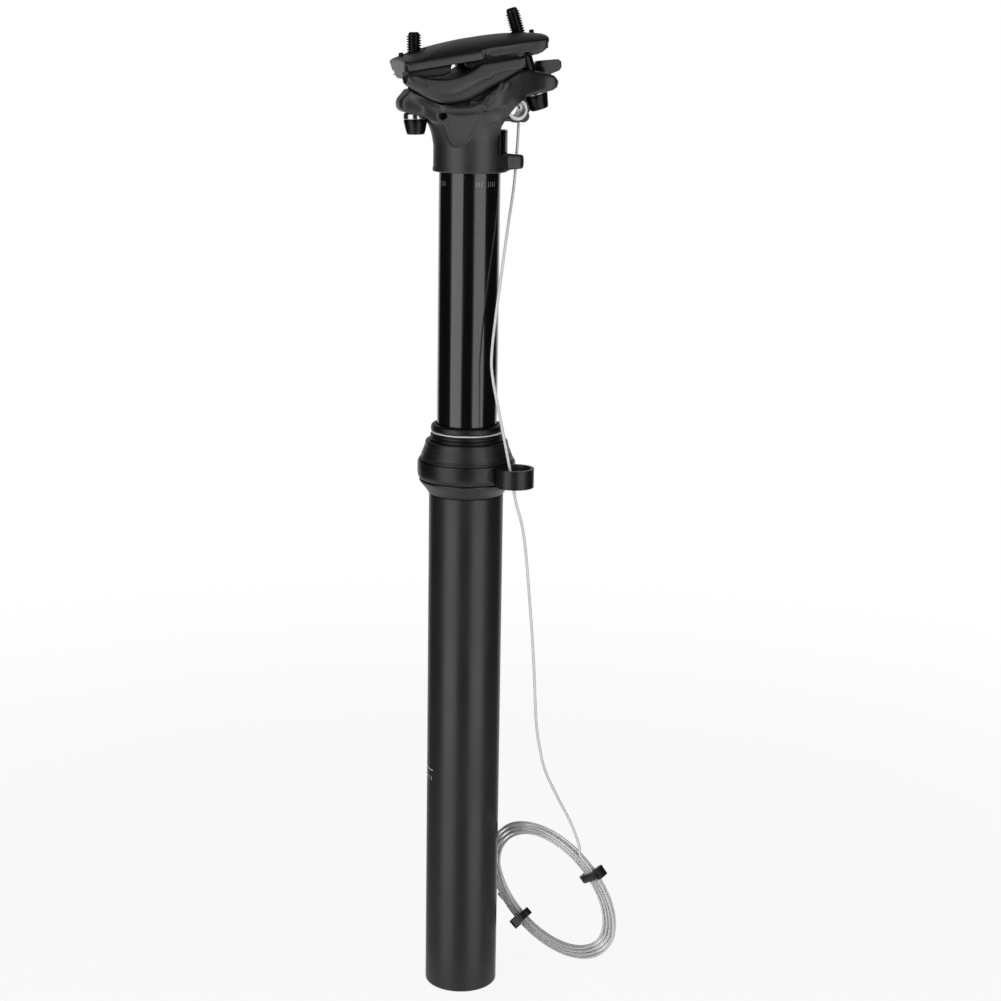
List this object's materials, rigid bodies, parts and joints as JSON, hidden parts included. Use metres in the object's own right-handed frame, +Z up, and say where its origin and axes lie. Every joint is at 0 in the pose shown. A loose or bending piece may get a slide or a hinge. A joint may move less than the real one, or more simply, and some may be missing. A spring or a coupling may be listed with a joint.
{
  "type": "dropper seatpost",
  "caption": "Telescoping bicycle seatpost with a sliding upper tube, two-bolt saddle clamp, release lever on the head and a coiled release wire tied for packing.",
  "frame": {"origin": "on the post's axis at the minimum insertion line, 100 mm above the lower end", "axes": "+Z up along the post, +X to the bicycle's rear, where the cable ear and the clip's side are"},
  "size_m": [0.0942, 0.0657, 0.4243],
  "materials": {
    "anodised_tube": "satin black hard anodised",
    "anodised_gloss": "gloss black hard anodised",
    "forged_alloy": "matte charcoal bead-blasted anodised forging",
    "turned_collar": "turned satin black anodised",
    "bright_alloy": "bright turned",
    "black_steel": "black oxide, oiled",
    "bright_steel": "polished",
    "wire_steel": "stranded wire, slick",
    "brass": "plain turned",
    "seal_rubber": "moulded nitrile, slightly glossy",
    "clip_plastic": "moulded, fine satin",
    "gloss_plastic": "gloss moulded",
    "bush_plastic": "machined acetal",
    "white_plastic": "felt-like moulded ring"
  },
  "bodies": {
    "lower_post": {"outer_tube": "anodised_tube", "bottom_plug": "clip_plastic", "rod_bolt": "bright_steel", "piston_rod": "bright_steel", "piston_head": "brass", "piston_seal": "seal_rubber", "upper_bushing": "bush_plastic", "collar_nut": "turned_collar", "wiper_seal": "seal_rubber", "wiper_ring": "white_plastic", "guide_clip": "clip_plastic", "cable_lower": "wire_steel", "cable_coil": "wire_steel", "coil_tie_upper": "clip_plastic", "coil_tie_lower": "clip_plastic", "cable_tip": "bright_alloy"},
    "upper_post": {"stanchion": "anodised_gloss", "lower_bushing": "bush_plastic", "retaining_ring": "black_steel", "key_pins": "brass", "cartridge_tube": "bright_alloy", "cartridge_gland": "bright_alloy", "top_out_bumper": "seal_rubber", "valve_body": "bright_alloy", "head": "forged_alloy", "lever_pin": "black_steel", "rear_cover": "gloss_plastic", "cable_upper": "wire_steel"},
    "saddle_clamp": {"lower_cradle": "forged_alloy", "upper_clamp": "forged_alloy", "nut_pins": "black_steel"},
    "front_swivel": {"front_washer": "bright_steel"},
    "rear_swivel": {"rear_washer": "bright_steel"},
    "front_screw": {"front_bolt": "black_steel"},
    "rear_screw": {"rear_bolt": "black_steel"},
    "front_barrel": {"front_nut": "black_steel"},
    "rear_barrel": {"rear_nut": "black_steel"},
    "release_lever": {"actuator_lever": "forged_alloy", "cable_anchor": "bright_alloy"},
    "release_pin": {"valve_pin": "bright_steel"}
  },
  "joints": [
    {"name": "post_slide", "type": "slide", "parent": "lower_post", "child": "upper_post", "axis": [0, 0, 1], "range_m": [-0.1, 0], "stiffness_N_per_m": 60, "springref_m": 0.5, "deforming": ["cable_upper"]},
    {"name": "clamp_tilt", "type": "hinge", "parent": "upper_post", "child": "saddle_clamp", "pos_m": [-0.004, 0, 0.317], "axis": [0, 1, 0], "range_deg": [-8, 2]},
    {"name": "front_swing", "type": "hinge", "parent": "upper_post", "child": "front_swivel", "pos_m": [-0.0226, 0, 0.276], "axis": [0, 1, 0], "range_deg": [-0.99, 3.51]},
    {"name": "front_bolt_turn", "type": "hinge", "parent": "front_swivel", "child": "front_screw", "pos_m": [-0.0226, 0, 0.276], "axis": [-0.0244, 0, 0.9997], "range_deg": [-251.25, 990.01]},
    {"name": "front_nut_swing", "type": "hinge", "parent": "saddle_clamp", "child": "front_barrel", "pos_m": [-0.0233, 0, 0.30453], "axis": [0, 1, 0], "range_deg": [-2.99, 11.51]},
    {"name": "rear_swing", "type": "hinge", "parent": "upper_post", "child": "rear_swivel", "pos_m": [0.0283, 0, 0.2864], "axis": [0, 1, 0], "range_deg": [-1.04, 3.73]},
    {"name": "rear_bolt_turn", "type": "hinge", "parent": "rear_swivel", "child": "rear_screw", "pos_m": [0.0283, 0, 0.2864], "axis": [-0.3024, 0, 0.9532], "range_deg": [-1087.49, 275.62]},
    {"name": "rear_nut_swing", "type": "hinge", "parent": "saddle_clamp", "child": "rear_barrel", "pos_m": [0.02017, 0, 0.31204], "axis": [0, 1, 0], "range_deg": [-3.04, 11.73]},
    {"name": "lever_pull", "type": "hinge", "parent": "upper_post", "child": "release_lever", "pos_m": [-0.014, 0, 0.282], "axis": [0, 1, 0], "range_deg": [0, 6], "stiffness_Nm_per_rad": 0.5, "springref_deg": -11.46},
    {"name": "release_pin_slide", "type": "slide", "parent": "upper_post", "child": "release_pin", "axis": [0, 0, 1], "range_m": [-0.00167, 0.0002]}
  ],
  "couplings": [
    {"joint": "front_swing", "follows": "clamp_tilt", "ratio": -0.42013},
    {"joint": "front_bolt_turn", "follows": "clamp_tilt", "ratio": -123.13},
    {"joint": "front_nut_swing", "follows": "clamp_tilt", "ratio": -1.4201},
    {"joint": "rear_swing", "follows": "clamp_tilt", "ratio": -0.44736},
    {"joint": "rear_bolt_turn", "follows": "clamp_tilt", "ratio": 135.31},
    {"joint": "rear_nut_swing", "follows": "clamp_tilt", "ratio": -1.4474},
    {"joint": "release_pin_slide", "follows": "lever_pull", "m_per_rad": -0.014}
  ]
}
